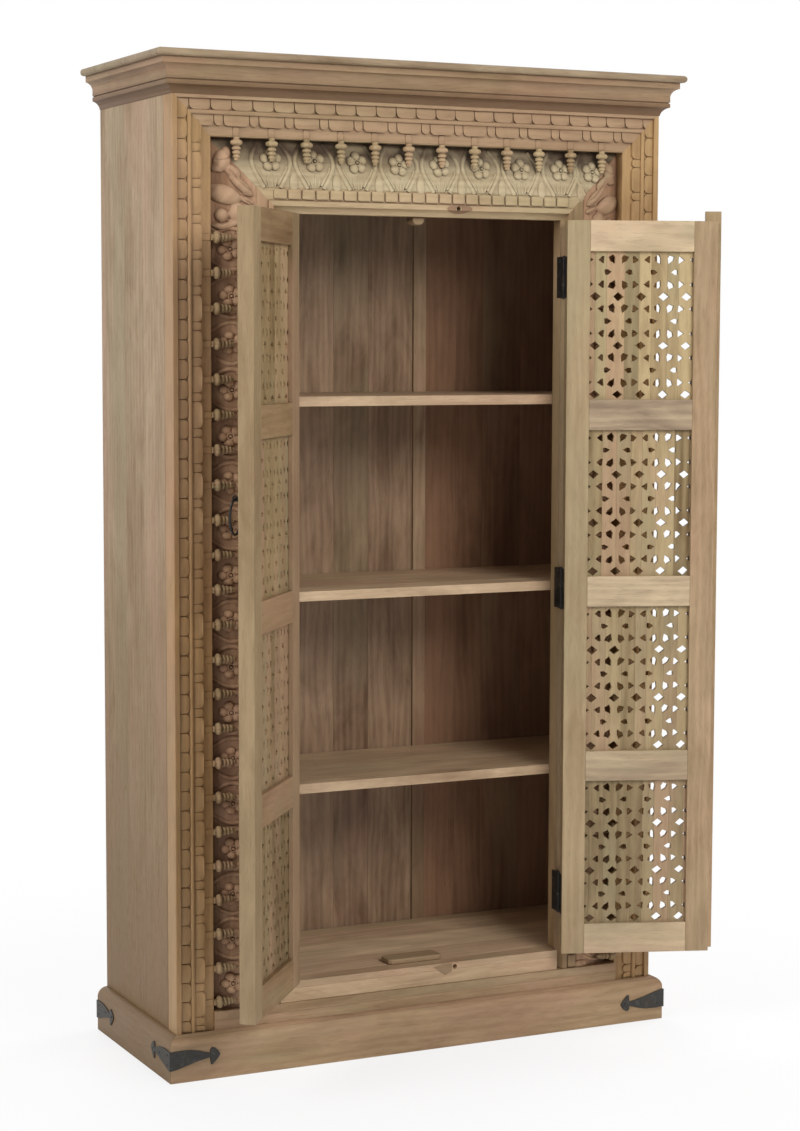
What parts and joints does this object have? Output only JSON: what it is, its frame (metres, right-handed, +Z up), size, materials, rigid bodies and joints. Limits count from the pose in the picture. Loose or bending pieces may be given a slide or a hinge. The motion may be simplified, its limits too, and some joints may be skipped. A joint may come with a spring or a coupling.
{
  "type": "carved lattice-door cabinet",
  "caption": "Tall hardwood cabinet: carved surround with a row of turned bosses, cornice and plinth, pierced lattice double doors with ring pulls, and shelves inside.",
  "frame": {"origin": "on the floor, in the middle of the footprint (plinth front to back of the carcass)", "axes": "+Z up, -Y the front with the doors, +X to the right of a person who faces the doors"},
  "size_m": [1.0869, 0.6134, 1.8],
  "materials": {
    "side_boards": "glued upright boards, mixed tan, grey and pinkish, waxed",
    "inner_boards": "sawn and sanded boards, waxed, a little darker inside",
    "back_boards": "upright strips of mixed tone, waxed",
    "plain_wood": "open-grained tan hardwood with pinkish patches, waxed",
    "moulded_wood": "run mouldings in tan hardwood, waxed",
    "carved_wood": "carved hardwood, orange-brown, rubbed edges",
    "frieze_wood": "carved paler hardwood with dark hollows",
    "turned_wood": "turned hardwood with a soft sheen",
    "door_wood": "planed pale hardwood, waxed",
    "lattice_wood": "pierced pale hardwood in upright strips",
    "black_iron": "blackened forged iron"
  },
  "bodies": {
    "root": {"side_panel_left": "side_boards", "side_panel_right": "side_boards", "back_rails": "inner_boards", "back_muntins": "inner_boards", "back_panel_left": "back_boards", "back_panel_middle": "back_boards", "back_panel_right": "back_boards", "floor_board": "inner_boards", "top_board": "inner_boards", "plinth_bearer": "inner_boards", "shelf_lower": "inner_boards", "shelf_middle": "inner_boards", "shelf_upper": "inner_boards", "plinth_front": "plain_wood", "plinth_sides": "plain_wood", "corner_straps": "black_iron", "cornice_front": "moulded_wood", "cornice_left": "moulded_wood", "cornice_right": "moulded_wood", "crown_board": "moulded_wood", "outer_stile_left": "carved_wood", "outer_stile_right": "carved_wood", "outer_rail_top": "carved_wood", "outer_rail_bottom": "plain_wood", "head_rail": "plain_wood", "frieze_left": "frieze_wood", "frieze_right": "frieze_wood", "frieze_top": "frieze_wood", "inner_stile_left": "plain_wood", "inner_stile_right": "plain_wood", "lintel": "plain_wood", "sill": "plain_wood", "bosses_left": "turned_wood", "bosses_right": "turned_wood", "bosses_top": "turned_wood", "door_stops": "turned_wood", "hinge_leaves_fixed": "black_iron", "hinge_pins": "black_iron"},
    "door_right": {"door_right_hinge_stile": "door_wood", "door_right_free_stile": "door_wood", "door_right_rails": "door_wood", "door_right_lattice_1": "lattice_wood", "door_right_lattice_2": "lattice_wood", "door_right_lattice_3": "lattice_wood", "door_right_lattice_4": "lattice_wood", "door_right_hinge_leaves": "black_iron", "door_right_ring_eye": "black_iron", "door_right_astragal": "door_wood"},
    "ring_right": {"door_right_ring": "black_iron"},
    "door_left": {"door_left_hinge_stile": "door_wood", "door_left_free_stile": "door_wood", "door_left_rails": "door_wood", "door_left_lattice_1": "lattice_wood", "door_left_lattice_2": "lattice_wood", "door_left_lattice_3": "lattice_wood", "door_left_lattice_4": "lattice_wood", "door_left_hinge_leaves": "black_iron", "door_left_ring_eye": "black_iron"},
    "ring_left": {"door_left_ring": "black_iron"}
  },
  "joints": [
    {"name": "door_right_hinge", "type": "hinge", "parent": "root", "child": "door_right", "pos_m": [0.284, -0.17775, 0.845], "axis": [0, 0, 1], "range_deg": [-160, 10]},
    {"name": "ring_right_hinge", "type": "hinge", "parent": "door_right", "child": "ring_right", "pos_m": [0.52063, -0.2527, 1.043], "axis": [0.9397, -0.342, 0], "range_deg": [-3, 180]},
    {"name": "door_left_hinge", "type": "hinge", "parent": "root", "child": "door_left", "pos_m": [-0.284, -0.17775, 0.845], "axis": [0, 0, -1], "range_deg": [-129, 41]},
    {"name": "ring_left_hinge", "type": "hinge", "parent": "door_left", "child": "ring_left", "pos_m": [-0.44823, -0.36388, 1.043], "axis": [0.6293, 0.7771, 0], "range_deg": [-3, 180]}
  ]
}
